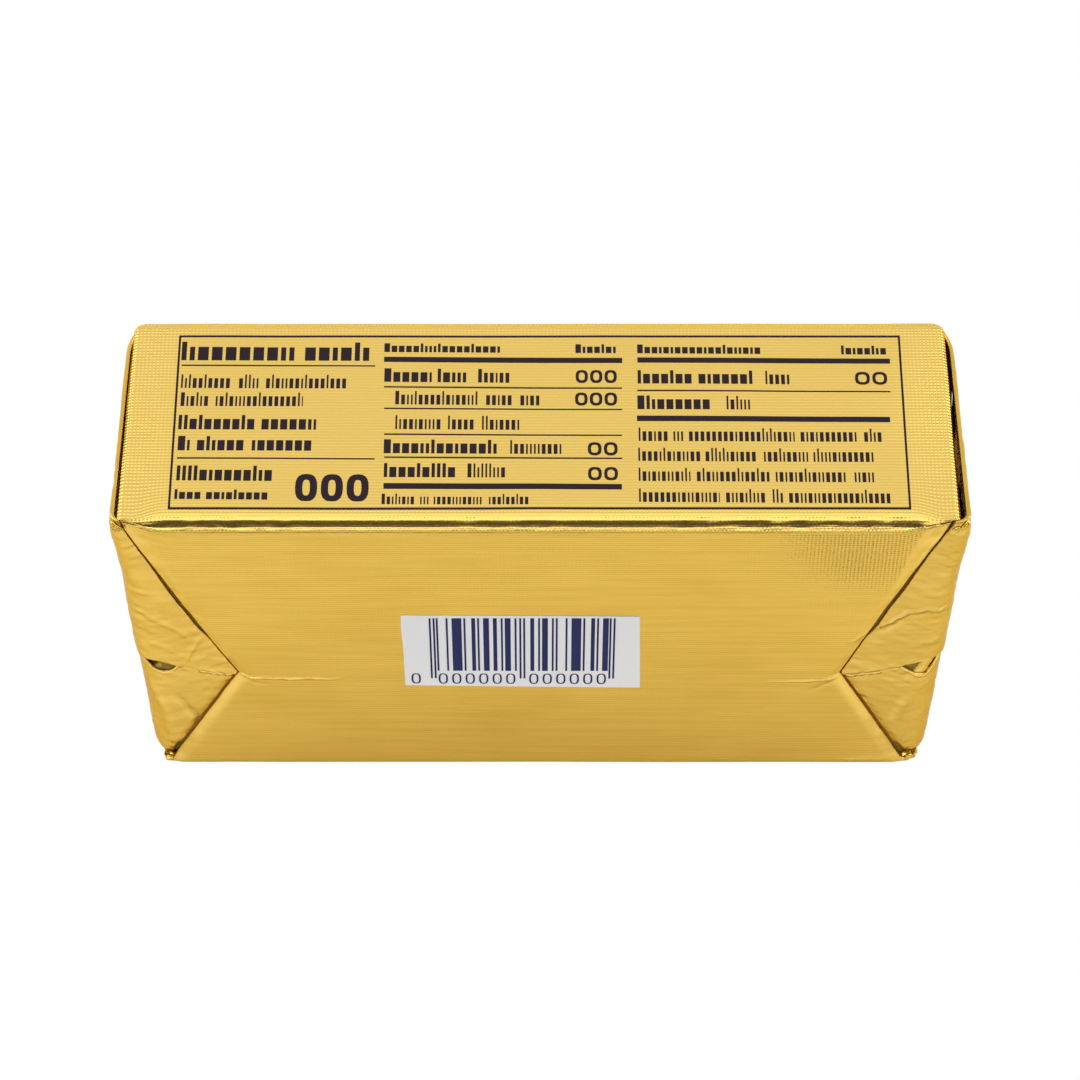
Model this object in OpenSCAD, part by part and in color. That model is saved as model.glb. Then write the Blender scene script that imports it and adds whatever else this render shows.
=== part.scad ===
// Foil-wrapped block of butter, standing on one of its narrow long sides.
// The foil goes round the block in two layers. The end foil comes up from the back, covers the end
// walls and folds on to the panel face as two flaps that meet in a point. The belly foil goes round
// the length of the block over it, and its folded edges leave slits along every end.
// +X runs along the length, -Y is the panel face, +Z is up. The origin is the middle of the foot.

/* [Block] */
// Length over both end walls
block_length = 116; // [90:1:150]
// Depth from the panel face to the back face
block_depth = 34.8; // [26:1:45]
// Height of the block as it stands
block_height = 62.3; // [45:1:80]
// How far each end wall leans in at the foot
foot_lean = 1.5; // [0:0.1:4]

/* [Edges] */
// Radius of the long edges
long_edge_r = 2.2; // [1.2:0.1:4]
// Radius of the soft rims where the end foil turns on to the panel face
front_rim_r = 5; // [3:0.1:8]
// Radius of the tighter corners at the upper end of those rims
top_corner_r = 2; // [1.2:0.1:3]
// Radius of the upright corners at the back
back_corner_r = 2.6; // [1.5:0.1:4]
// Radius of the end foil's own top and bottom folds
end_fold_r = 0.9; // [0.5:0.1:1.5]

/* [Folds] */
// How far the flaps' point reaches in from the end wall
flap_reach = 14.7; // [9:0.5:20]
// Height of the flaps' point above the foot
flap_point_z = 25.2; // [16:0.1:28]
// Height of the notch between the flaps, at the rim
notch_z = 28.5; // [22:0.1:34]
// Step from the belly foil down to the end foil
fold_step = 0.6; // [0.3:0.05:1]
// Width of the end foil that shows past the belly foil
end_strip = 1; // [0.6:0.1:1.5]
// Widest opening of the slits
slit_width = 0.6; // [0.3:0.05:1]
// Depth of the slits
slit_depth = 2; // [1:0.1:3]
// Step between the upper flap and the lower one
flap_step = 0.3; // [0.1:0.05:0.5]
// Depth of the valley between the two ears of each end wall
valley_depth = 0.5; // [0.2:0.05:1]
// Depth of the notch where the ears and flaps meet
notch_depth = 1.6; // [0.8:0.1:2.5]
// Radius of the small foil curls at the top corners
curl_r = 0.45; // [0.3:0.05:0.8]

/* [Hidden] */

$fn = 32;
foil_gold = [0.83, 0.66, 0.27];
speck = 0.02;         // size of the nibs that a cut is stretched between
clear = 1;            // how far a cut reaches out of the solid
seam_half = 0.9;      // half the opening of the notch where it meets the seam

half_depth = block_depth / 2;
front_y = -half_depth;                                // the panel face
flap_y = front_y + fold_step;                         // the face of the flaps
belly_length = block_length - 2 * end_strip;
flap_point_x = block_length / 2 - flap_reach;
notch_x = block_length / 2 - front_rim_r * 1.15;      // where the seam runs into the notch
rim_y = front_y + front_rim_r;                        // where the end wall starts

// Half length of the block at a height
function half_length(z) = block_length / 2 - foot_lean * (1 - z / block_height);

// The flaps' outline meets the belly foil's edge at these three points, as [x, z]
top_corner = [half_length(block_height) - end_strip, block_height - top_corner_r];
foot_corner = [half_length(0) - end_strip * 2, 0];
flap_point = [flap_point_x, flap_point_z];

// A disc whose rim is rounded: hulled at the corners, it rounds the upright edges and the long ones
module corner_disc(corner_r, rim_r) {
    fillet = min(rim_r, corner_r);
    rotate_extrude()
        intersection() {
            translate([corner_r - fillet, 0]) circle(fillet);
            translate([0, -fillet]) square([corner_r, 2 * fillet]);
        }
}

// Radius of an upright corner at a height: tight at the top, soft from the middle down to the foot
function corner_radius(face, z) =
    face > 0 ? back_corner_r : z > block_height / 2 + 1 ? top_corner_r : front_rim_r;

// A block with rounded edges, its ends leaning in towards the foot
module rounded_block(length, depth, low_z, high_z, rim_r) {
    end_gap = block_length / 2 - length / 2;
    hull()
        for (side = [-1, 1], z = [low_z, block_height / 2, high_z], face = [-1, 1]) {
            corner_r = corner_radius(face, z);
            fillet = min(rim_r, corner_r);
            translate([
                side * (half_length(z) - end_gap - corner_r),
                face * (depth / 2 - corner_r),
                min(max(z, low_z + fillet), high_z - fillet)
            ]) corner_disc(corner_r, rim_r);
        }
}

// A cut or a curl stretched between points
module stretched(points, size = speck) {
    hull()
        for (p = points) translate(p) cube(size, center = true);
}

// The end foil: a slightly smaller block that reaches past the belly foil at both ends
module end_foil() {
    rounded_block(block_length, block_depth - 2 * fold_step, fold_step, block_height - fold_step / 2,
        end_fold_r);
}

// The belly foil, open over the flaps
module belly_foil() {
    difference() {
        rounded_block(belly_length, block_depth, 0, block_height, long_edge_r);
        for (side = [-1, 1])
            scale([side, 1, 1])
                translate([0, flap_y, 0])
                    rotate([90, 0, 0])
                        linear_extrude(fold_step + clear)
                            polygon([
                                top_corner,
                                flap_point,
                                foot_corner,
                                [block_length, -clear],
                                [block_length, top_corner[1]]
                            ]);
    }
}

// The slit under a folded edge on the panel face, widest at its middle
module face_slit(from, to) {
    middle = (from + to) / 2;
    stretched([
        [from[0], flap_y, from[1]],
        [to[0], flap_y, to[1]],
        [middle[0], flap_y - fold_step / 2, middle[1]],
        [middle[0] + slit_width, flap_y - fold_step / 2, middle[1]],
        [middle[0] - slit_width / 2, flap_y + slit_depth / 2, middle[1]]
    ]);
}

// The slit beside an end wall, closed at the back and open at the front
module end_slit(z, up) {
    slit_x = half_length(z) - end_strip;
    slit_y = front_y + corner_radius(-1, z) / 2;
    out_z = z + up * clear;
    deep_z = z - up * slit_depth;
    stretched([
        [slit_x, half_depth - back_corner_r, z],
        [slit_x, slit_y, out_z],
        [slit_x + slit_width, slit_y, out_z],
        [slit_x, half_depth - back_corner_r, out_z],
        [slit_x + slit_width / 2, slit_y, deep_z]
    ]);
}

// The inner end panel lies below the two ears and shows between them as a valley
module ear_valley() {
    wall_top = half_length(block_height);
    wall_foot = half_length(0);
    wall_notch = half_length(notch_z);
    stretched([
        [wall_notch - valley_depth, rim_y, notch_z],
        [wall_notch + clear, rim_y, notch_z],
        [wall_top, half_depth - back_corner_r, block_height - back_corner_r],
        [wall_top + clear, half_depth - back_corner_r, block_height - back_corner_r],
        [wall_foot, half_depth - back_corner_r, back_corner_r],
        [wall_foot + clear, half_depth - back_corner_r, back_corner_r]
    ]);
}

// The hollow at the rim where both ears and both flaps come together
module rim_notch() {
    reach_z = notch_depth * 1.3;
    stretched([
        [notch_x - seam_half, flap_y, (notch_z + flap_point_z) / 2],
        [half_length(notch_z) + clear / 4, rim_y, notch_z + reach_z / 3],
        [block_length / 2 - front_rim_r / 3, front_y, notch_z + reach_z / 2],
        [block_length / 2 - front_rim_r / 3, front_y, notch_z - reach_z],
        [block_length / 2 - front_rim_r / 2, flap_y + notch_depth, notch_z - reach_z / 4]
    ]);
}

// The lower flap lies below the upper one, so the seam from the point to the notch is a step
module lower_flap_step() {
    seam_z = (notch_z + flap_point_z) / 2;
    stretched([
        [flap_point_x, flap_y + flap_step, flap_point_z],
        [flap_point_x, flap_y - clear, flap_point_z],
        [notch_x, flap_y + flap_step, seam_z],
        [notch_x, flap_y - clear, seam_z],
        [half_length(0) - front_rim_r, flap_y, long_edge_r],
        [half_length(0) - front_rim_r, flap_y - clear, long_edge_r]
    ]);
}

// The curl of spare foil on a top front corner
module corner_curl() {
    tip_x = half_length(block_height) - curl_r;
    tip_z = block_height - long_edge_r;
    hull() {
        translate([tip_x, front_y + top_corner_r, tip_z + curl_r]) sphere(curl_r);
        translate([tip_x - curl_r, front_y + curl_r, tip_z]) sphere(curl_r);
        translate([tip_x - top_corner_r, front_y + top_corner_r, tip_z - top_corner_r]) sphere(curl_r);
    }
}

module wrapped_block() {
    color(foil_gold)
        difference() {
            union() {
                end_foil();
                belly_foil();
                for (side = [-1, 1]) scale([side, 1, 1]) corner_curl();
            }
            for (side = [-1, 1])
                scale([side, 1, 1]) {
                    face_slit(top_corner, flap_point);
                    face_slit(foot_corner, flap_point);
                    end_slit(block_height, 1);
                    end_slit(0, -1);
                    ear_valley();
                    rim_notch();
                    lower_flap_step();
                }
        }
}

wrapped_block();
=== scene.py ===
import math

import bpy
import numpy as np
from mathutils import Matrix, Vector


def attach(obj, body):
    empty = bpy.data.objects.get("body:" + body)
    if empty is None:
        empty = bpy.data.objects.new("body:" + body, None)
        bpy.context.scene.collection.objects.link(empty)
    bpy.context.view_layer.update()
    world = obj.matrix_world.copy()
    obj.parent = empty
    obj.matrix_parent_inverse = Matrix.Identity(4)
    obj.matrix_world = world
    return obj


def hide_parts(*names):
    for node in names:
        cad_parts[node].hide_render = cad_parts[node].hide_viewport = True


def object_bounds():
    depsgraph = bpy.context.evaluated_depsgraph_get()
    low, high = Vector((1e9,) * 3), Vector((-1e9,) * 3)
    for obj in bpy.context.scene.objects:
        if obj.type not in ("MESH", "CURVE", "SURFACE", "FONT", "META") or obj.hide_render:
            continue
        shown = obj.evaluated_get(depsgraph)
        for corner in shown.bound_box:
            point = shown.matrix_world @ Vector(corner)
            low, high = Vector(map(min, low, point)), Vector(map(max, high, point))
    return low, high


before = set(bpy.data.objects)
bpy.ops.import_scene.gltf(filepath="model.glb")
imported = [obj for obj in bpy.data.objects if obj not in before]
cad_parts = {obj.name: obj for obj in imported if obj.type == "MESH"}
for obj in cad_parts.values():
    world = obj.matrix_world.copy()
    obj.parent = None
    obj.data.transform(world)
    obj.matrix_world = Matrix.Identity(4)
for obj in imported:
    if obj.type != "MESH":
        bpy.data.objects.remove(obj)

cadLow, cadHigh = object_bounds()

# Everything below is worked out in millimetres and scaled once, when a mesh is made
mm = 0.001
halfLength = (cadHigh[0] - cadLow[0]) / 2 / mm
# the foil bulges a little past the block's nominal size
halfDepth = (cadHigh[1] - cadLow[1]) / 2 / mm + 0.38
height = (cadHigh[2] - cadLow[2]) / mm + 0.2

# The block and the way its foil is folded
block = {
    "footLean": 1.5,  # how far each end wall leans in at the foot
    "wallBulge": 0.3,  # how far the end walls stand out beside the panel face
    "bulgeLoss": 0.75,  # and how much less they do at the back
    "cheek": 0.45,  # the walls swell by this much just below the top
    "footTuck": 0.95,  # and draw in by this much at the foot
    "longEdge": 2.2,  # radius of the long edges
    "backCorner": 2.6,  # radius of the upright corners at the back
    "rim": 4.0,  # radius of the soft rims beside the flaps
    "topRim": 1.8,  # the same rims where they reach the top
    "layer": 0.6,  # step from the belly foil down to the end foil
    "pointReach": 14.9,  # how far in from the end wall the flaps meet
    "pointHeight": 25.0,  # and how high above the foot
}


def smoothStep(low, high, value):
    t = np.clip((value - low) / (high - low), 0, 1)
    return t * t * (3 - 2 * t)


def wallX(z, y):
    # half length at a height and a depth
    bulge = block["wallBulge"] - block["bulgeLoss"] * (y + halfDepth) / (2 * halfDepth)
    cheek = block["cheek"] * smoothStep(0, 5, height - z) - block["footTuck"] * smoothStep(4.5, 0, z) ** 2
    return halfLength + bulge + cheek - block["footLean"] * (1 - z / height)


def ofSide(pair, side):
    # the left or the right one of two values
    return pair[0 if side < 0 else 1]


def hashGrid(ix, iy, seed):
    # a repeatable number from 0 to 1 for each lattice point
    mixed = np.sin(ix * 127.1 + iy * 311.7 + seed * 74.7) * 43758.5453
    return mixed - np.floor(mixed)


def softNoise(x, y, size, seed):
    # smooth noise from -1 to 1 with lumps about this many millimetres across
    x, y = np.asarray(x, float) / size, np.asarray(y, float) / size
    ix, iy = np.floor(x), np.floor(y)
    fx, fy = x - ix, y - iy
    fx, fy = fx * fx * (3 - 2 * fx), fy * fy * (3 - 2 * fy)
    near = hashGrid(ix, iy, seed) * (1 - fx) + hashGrid(ix + 1, iy, seed) * fx
    far = hashGrid(ix, iy + 1, seed) * (1 - fx) + hashGrid(ix + 1, iy + 1, seed) * fx
    return 2 * (near * (1 - fy) + far * fy) - 1


def creaseNoise(x, y, size, seed):
    # sharp ridges, as in foil that was crumpled and pressed flat again
    return 1 - 2 * np.abs(softNoise(x, y, size, seed)) ** 0.7


def nearLine(x, z, points):
    # distance from a line through a few points, and the share of the way along it
    reach = np.full(np.broadcast(x, z).shape, 1e9)
    share = np.zeros(reach.shape)
    for i, (start, end) in enumerate(zip(points, points[1:])):
        dx, dz = end[0] - start[0], end[1] - start[1]
        t = np.clip(((x - start[0]) * dx + (z - start[1]) * dz) / (dx * dx + dz * dz), 0, 1)
        away = np.hypot(x - start[0] - t * dx, z - start[1] - t * dz)
        share = np.where(away < reach, (i + t) / (len(points) - 1), share)
        reach = np.minimum(reach, away)
    return reach, share


def creaseMarks(x, z, creases):
    # pressed creases: each has its points, its width, its height and how jagged it is
    total = 0
    for points, width, rise, jag in creases:
        wander = jag * softNoise(x, z, 0.9, len(points) + 60)
        reach, share = nearLine(x + 0 * z, z + 0 * x + wander, points)
        fade = np.clip(np.minimum(share, 1 - share) * 5, 0, 1)
        total = total + rise * fade * np.exp(-(reach / width) ** 2)
    return total


def buildMesh(name, corners, faces, flat=None, values=None, smooth=True):
    mesh = bpy.data.meshes.new(name)
    mesh.from_pydata((np.asarray(corners) * mm).tolist(), [], faces)
    if flat is not None:  # the place of each point on the unfolded sheet, in millimetres
        layer = mesh.uv_layers.new(name="sheet")
        loops = np.empty(len(mesh.loops), np.int32)
        mesh.loops.foreach_get("vertex_index", loops)
        layer.data.foreach_set("uv", np.asarray(flat)[loops].astype(np.float32).ravel())
    for label, numbers in (values or {}).items():
        attribute = mesh.attributes.new(label, "FLOAT", "POINT")
        attribute.data.foreach_set("value", np.asarray(numbers, np.float32).ravel())
    mesh.polygons.foreach_set("use_smooth", [smooth] * len(mesh.polygons))
    mesh.update()
    piece = bpy.data.objects.new(name, mesh)
    bpy.context.scene.collection.objects.link(piece)
    return piece


def gridFaces(rows, columns, closed=False, flip=False):
    faces = []
    for r in range(rows if closed else rows - 1):
        a, b = r * columns, (r + 1) % rows * columns
        for c in range(columns - 1):
            quad = (a + c, a + c + 1, b + c + 1, b + c)
            faces.append(quad[::-1] if flip else quad)
    return faces


# The foil that goes round the length of the block
belly = {
    "rowStep": 0.42,  # spacing of the mesh across the flat faces
    "columnStep": 0.85,  # and along them
    "fineRows": (26.4, 21.6, -0.14),  # closer rows where creases run in from the flaps' points
    "edgeRows": 12,  # round each long edge
    "facetWidth": 1.6,  # strip beside the diagonal folds that slopes down to them
    "facetDrop": 0.5,
    "foldRadius": 0.34,  # of the diagonal folds
    "foldTuck": 0.9,  # how deep the foil runs in behind them
    "foldSlope": 0.37,  # how far the upper diagonals run outwards for each millimetre up
    "endRadius": 1.0,  # of the rounded ends of the narrow faces
    "endTuck": 2.2,  # how deep the foil runs in there
    # end foil left showing beside the narrow faces, left and right, at the back and at the front
    "stripBack": (0.64, 0.94),
    "stripFront": (0.76, 1.24),
    "cornerReach": 6.5,  # the near edge is pinched over this length at both ends
    "cornerBack": 0.7,  # and bends back by this much
    "pinch": 0.78,  # share of its radius that it loses
    "undulation": 0.09,  # height of the slow waves
    "lightPlay": 1.6,  # how strongly slopes are painted lighter or darker, as painted highlight and shade
    "upperStart": (56.6, 55.6),  # left and right: how far out the diagonal folds start at the top
    "lowerEnd": (54.6, 53.6),  # and end at the foot
    # creases on the panel: points as distance from the middle and height, width, height, jaggedness
    "creases": (
        (((-43.8, 25.2), (-41.5, 24.6), (-36.6, 24.3), (-27, 24.2)), 0.2, 0.16, 0.2),
        (((-42.9, 24.9), (-41.0, 23.3), (-38.6, 22.6)), 0.3, -0.08, 0.1),
        (((43.3, 24.9), (40.8, 23.9), (38, 23.6), (32, 23.5)), 0.2, 0.12, 0.2),
        (((42.6, 24.2), (40.6, 22.6), (38.0, 20.6)), 0.3, -0.12, 0.2),
        (((46.9, 36.4), (44.4, 34.2), (43.2, 33.4)), 0.3, 0.10, 0.3),
        (((55, 3.4), (50, 2.6), (43, 2.4)), 0.4, 0.12, 0.3),
        (((-56, 60), (-53.5, 57.6), (-51, 51)), 0.8, -0.12, 0.3),
        (((56, 59.5), (53.5, 57.6), (50.4, 51)), 0.8, -0.14, 0.3),
    ),
}


def bellyProfile():
    # rows round the block, starting at the foot of the back and going over the top
    r = block["longEdge"]
    ySpan, zSpan = halfDepth - r, height - 2 * r
    sides = (
        ("back", (halfDepth, r), (0, 1), (1, 0), zSpan),
        ("top", (ySpan, height), (-1, 0), (0, 1), 2 * ySpan),
        ("front", (-halfDepth, height - r), (0, -1), (-1, 0), zSpan),
        ("foot", (-ySpan, 0), (1, 0), (0, -1), 2 * ySpan),
    )
    rows, along = [], 0.0
    for label, start, way, normal, length in sides:
        count = max(2, round(length / belly["rowStep"]))
        steps = [length * i / count for i in range(count)]
        if label == "front":
            fine = [start[1] - level for level in np.arange(*belly["fineRows"])]
            steps = sorted([d for d in steps if not fine[0] - 0.1 < d < fine[-1] + 0.1] + fine)
        for d in steps:
            rows.append((start[0] + way[0] * d, start[1] + way[1] * d, *normal, along + d))
        along += length
        turns, arc = belly["edgeRows"], math.pi / 2 * r
        end = (start[0] + way[0] * length, start[1] + way[1] * length)
        centre = (end[0] - normal[0] * r, end[1] - normal[1] * r)
        for i in range(turns):
            a = math.pi / 2 * i / turns
            ny = normal[0] * math.cos(a) + way[0] * math.sin(a)
            nz = normal[1] * math.cos(a) + way[1] * math.sin(a)
            rows.append((centre[0] + ny * r, centre[1] + nz * r, ny, nz, along + arc * i / turns))
        along += arc
    return np.array(rows)


def foldLine(z, side):
    # where the belly foil's diagonal folds run on the panel face, as x from the middle
    pointX = halfLength - block["pointReach"] - ofSide((0, 0.3), side)
    pointZ = block["pointHeight"]
    top, low = ofSide(belly["upperStart"], side), ofSide(belly["lowerEnd"], side)
    bend = 0.3 * np.sin(np.clip((z - pointZ) / (height - pointZ), 0, 1) * math.pi) * side
    upper = pointX + (top - pointX) * (z - pointZ) / (height - 1 - pointZ) - bend
    lower = pointX + (low - pointX) * (pointZ - z) / (pointZ - 1)
    line = np.where(z > pointZ, upper, lower)
    return line + 0.06 * softNoise(z, side * 9.0, 2.2, 11) + 0.025 * softNoise(z, side * 5.0, 0.7, 12)


def bellyEnd(y, z, ny, side):
    # the belly foil's furthest reach for each row, and the radius, depth and turn of its fold
    onFront = smoothStep(0.5, 0.98, -ny)
    onBack = smoothStep(0.3, 0.95, ny)
    forward = (halfDepth - y) / (2 * halfDepth)
    back, front = ofSide(belly["stripBack"], side), ofSide(belly["stripFront"], side)
    narrow = wallX(z, y) - back - (front - back) * smoothStep(0.05, 0.9, forward)
    narrow = narrow - 0.25 * smoothStep(0.1, 0.0, forward) + 0.05 * softNoise(y, z * 0.01, 4.0, 14)
    plain = narrow * (1 - onBack) + (wallX(z, y) - flaps["earLift"]) * onBack
    reach = plain * (1 - onFront) + foldLine(z, side) * onFront
    radius = belly["endRadius"] * (1 - onFront) * (1 - onBack)
    radius = radius + belly["foldRadius"] * onFront + block["backCorner"] * onBack
    fromCorner = np.minimum(z, height - z)
    tuck = belly["endTuck"] * (1 - onFront) * (1 - onBack) + belly["foldTuck"] * onFront
    tuck = tuck + onBack * np.clip(3 + fromCorner, 0, 2 * halfDepth - 7)
    turn = math.pi / 2 * (1 + 0.35 * onFront)
    return reach, radius, tuck, turn, onFront, onBack


def cornerPinch(fromEnd, y, z, ny, nz):
    # the near edge grows sharp and bends back towards the slits at its ends
    r = block["longEdge"]
    pinch = smoothStep(belly["cornerReach"], 0.5, fromEnd)
    loss = belly["pinch"] * r * pinch
    fromEdge = np.hypot(np.maximum(y + halfDepth - r, 0), np.maximum(height - r - z, 0))
    near = smoothStep(7, 0, fromEdge) * (z > height / 2)
    below = smoothStep(3.4, 1.2, height - z) * smoothStep(3.6, 0.4, fromEnd)
    shiftY = near * (belly["cornerBack"] * below - loss * (1 + np.minimum(ny, 0)))
    shiftZ = near * loss * (1 - np.maximum(nz, 0)) * (ny <= 0)
    return shiftY, shiftZ


def slopeShade(relief, across, up):
    # painted light from slope: positive where the sheet tilts upwards or towards the end wall, negative
    # where it tilts away
    rise = np.gradient(up + 0 * relief, axis=0)
    run = np.gradient(across + 0 * relief, axis=1)
    rise = np.where(np.abs(rise) < 0.03, np.copysign(0.03, rise), rise)
    run = np.where(np.abs(run) < 0.03, np.copysign(0.03, run), run)
    lit = -np.clip(np.gradient(relief, axis=0) / rise, -0.4, 0.4)
    return lit - 0.4 * np.clip(np.gradient(relief, axis=1) / run, -0.4, 0.4)


def bellyHalf(rows, side):
    # points of one half of the belly foil, their places on the unfolded sheet, and its shades
    y, z, ny, nz, along = [rows[:, i:i + 1] for i in range(5)]
    reach, radius, tuck, turn, onFront, onBack = bellyEnd(y, z, ny, side)
    flatEnd = reach - radius
    facet = belly["facetWidth"] * (1 + 0.9 * onFront * smoothStep(height - 16, height - 3, z))
    middle = np.linspace(0, 1, round(halfLength / belly["columnStep"]))[None, :-1]
    near = np.linspace(0, 1, 13)[None, :-1]
    bend = np.linspace(0, 1, 9)[None, :-1]
    behind = np.linspace(0, 1, 20)[None, :] ** 1.3
    straight = np.concatenate([middle * (flatEnd - facet), flatEnd - facet + near * facet], 1)
    angle = bend * turn
    arcX, arcIn = flatEnd + radius * np.sin(angle), radius * (1 - np.cos(angle))
    lastX, lastIn = flatEnd + radius * np.sin(turn), radius * (1 - np.cos(turn))
    behindX = lastX + behind * tuck * np.cos(turn)
    behindIn = lastIn + behind * tuck * np.sin(turn)
    x = np.concatenate([straight, arcX, behindX], 1)
    inward = np.concatenate([0 * straight, arcIn, behindIn], 1)
    foldEnd = flatEnd + radius * turn
    arcLength = np.concatenate([straight, flatEnd + radius * angle, foldEnd + behind * tuck], 1)
    towards = np.clip((np.minimum(x, flatEnd) - flatEnd + facet) / facet, 0, 1)
    slope = belly["facetDrop"] * onFront * towards ** 1.5
    relief = bellyRelief(side * arcLength, along, y, ny, nz) * np.clip(1 - inward / 6, 0, 1)
    marks = onFront * creaseMarks(side * x, z, belly["creases"]) * (inward == 0)
    relief = relief + marks
    depth = inward + slope - relief
    shiftY, shiftZ = cornerPinch(reach - x, y, z, ny, nz)
    upward = np.maximum(z - nz * depth + shiftZ, 0.02)
    outward = x + belly["foldSlope"] * shiftZ * onFront * smoothStep(4, 1, reach - x)
    place = np.stack([side * outward, y - ny * depth + shiftY, upward], -1)
    flat = np.stack([side * arcLength, along + 0 * x], -1)
    # where the linen pattern shows, where painted shade darkens the slits, and where painted glints and
    # painted slope shade lie
    shown = (1 - smoothStep(0.2, 1.4, inward)) * (1 - 0.85 * onFront * smoothStep(0, 0.4, towards))
    # painted shade deep in the tucks; below the top of the panel it starts nearer the opening
    dark = onFront * smoothStep(height - 5, height - 14, z)
    paintedShade = smoothStep(1.6 - 1.1 * dark, 3.0 - 2.1 * dark, inward) * (1 - onBack)
    # painted glint beside the diagonal folds, painted highlight and shade from the slopes, painted
    # highlight on crease ridges
    glint = onFront * smoothStep(0.1, 0.7, towards) * (0.1 + 0.5 * softNoise(arcLength, along, 1.6, 15))
    glint = glint + belly["lightPlay"] * slopeShade(relief - slope, x, -along)
    glint = glint + 3 * np.maximum(marks, 0)
    return place, flat, shown, paintedShade, np.clip(glint, -0.4, 1)


def bellySurface(rows):
    # both halves side by side, sharing the middle column
    left, right = bellyHalf(rows, -1), bellyHalf(rows, 1)
    return [np.concatenate([a[:, :0:-1], b], 1) for a, b in zip(left, right)]


def bellyRelief(u, v, y, ny, nz):
    # slow waves, finer ripples towards the ends, and crumples along the near edge
    waves = 0.6 * softNoise(u, v, 24, 3) + 0.4 * softNoise(u, v, 9, 4)
    toEnd = smoothStep(halfLength - 16, halfLength - 2, np.abs(u))
    ripples = toEnd * (0.03 * softNoise(u, v, 2.4, 5) + 0.02 * softNoise(u * 0.25, v, 0.9, 6))
    onTop = smoothStep(0.8, 1.0, nz)
    fan = (y + halfDepth) * (1 + 0.5 * toEnd) + 0.12 * np.abs(u) + 0.5 * softNoise(u, v, 3, 7)
    ripples = ripples + onTop * toEnd * 0.035 * np.sin(fan * 4.6) * softNoise(u, v, 5, 8)
    onEdge = np.clip(1 - np.abs(nz - 0.7) / 0.65, 0, 1) * smoothStep(0, -0.3, ny)
    patchy = smoothStep(0.15, 0.8, softNoise(u, 0.0, 9, 9)) + 0.6 * smoothStep(30, 52, u)
    crumple = onEdge * (0.005 + 0.075 * patchy) * softNoise(u * 0.7, v, 0.7, 10)
    edgeLine = -0.05 * np.exp(-((-ny - 0.985) / 0.012) ** 2) * smoothStep(0, 0.1, nz)
    edgeLine = edgeLine * (0.8 + 0.5 * softNoise(u, 0.0, 6, 13))
    return belly["undulation"] * waves + ripples + crumple + edgeLine


def bellyShades(rows, place, shown, paintedShade, glint):
    # strengths that the foil's material reads: the linen, its dots, the painted highlight in pale gold and
    # the painted shade
    x, z = place[..., 0], place[..., 2]
    toBack = rows[:, 2:3]
    onTop = smoothStep(0.55, 0.95, rows[:, 3:4]) + 0 * x
    nearEdge = np.maximum(smoothStep(2.6, 0.6, height - z), smoothStep(2.6, 0.6, z)) * (1 - onTop)
    fromMiddle = np.abs(place[..., 1])
    nearEdge = np.maximum(nearEdge, onTop * smoothStep(halfDepth - 4, halfDepth - 1.5, fromMiddle))
    corner = 0.7 * smoothStep(26, 6, np.hypot(x - 48, (z - height) * 0.9)) * (1 - onTop)
    corner = np.maximum(corner, onTop * smoothStep(halfLength - 10, halfLength - 4, np.abs(x)))
    dots = np.clip(nearEdge + corner, 0, 1)
    onArc = np.clip(rows[:, 3:4] * -toBack * 2, 0, 1)
    strong = 0.25 * onTop * smoothStep(halfLength - 16, halfLength - 5, np.abs(x))
    strong = strong + 0.6 * corner * (1 - onTop)
    shown = shown * (1 - 0.85 * onArc) * (1 + strong)
    # the top face painted paler as a painted sheen, with painted highlights from the slopes, beside the
    # folds and in the upper corner
    highlightAndTone = onTop * (0.92 + 0.6 * glint) + (glint + 0.3 * corner) * (1 - onTop)
    # a painted highlight band along the lower part of the near edge
    highlightAndTone = highlightAndTone + smoothStep(0.80, 0.86, -toBack) * smoothStep(0.97, 0.93, -toBack) * (z > height / 2)
    # painted shade where the slopes face away
    paintedShade = np.clip(paintedShade + np.clip(-glint - 0.1, 0, 0.5) * 0.7, 0, 1)
    return {"emboss": shown, "dots": dots, "highlightAndTone": highlightAndTone, "paintedShade": paintedShade}


def makeBelly():
    rows = bellyProfile()
    place, flat, shown, paintedShade, glint = bellySurface(rows)
    faces = gridFaces(*place.shape[:2], closed=True, flip=True)
    values = bellyShades(rows, place, shown, paintedShade, glint)
    return buildMesh("bellyFoil", place.reshape(-1, 3), faces, flat.reshape(-1, 2), values)


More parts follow.
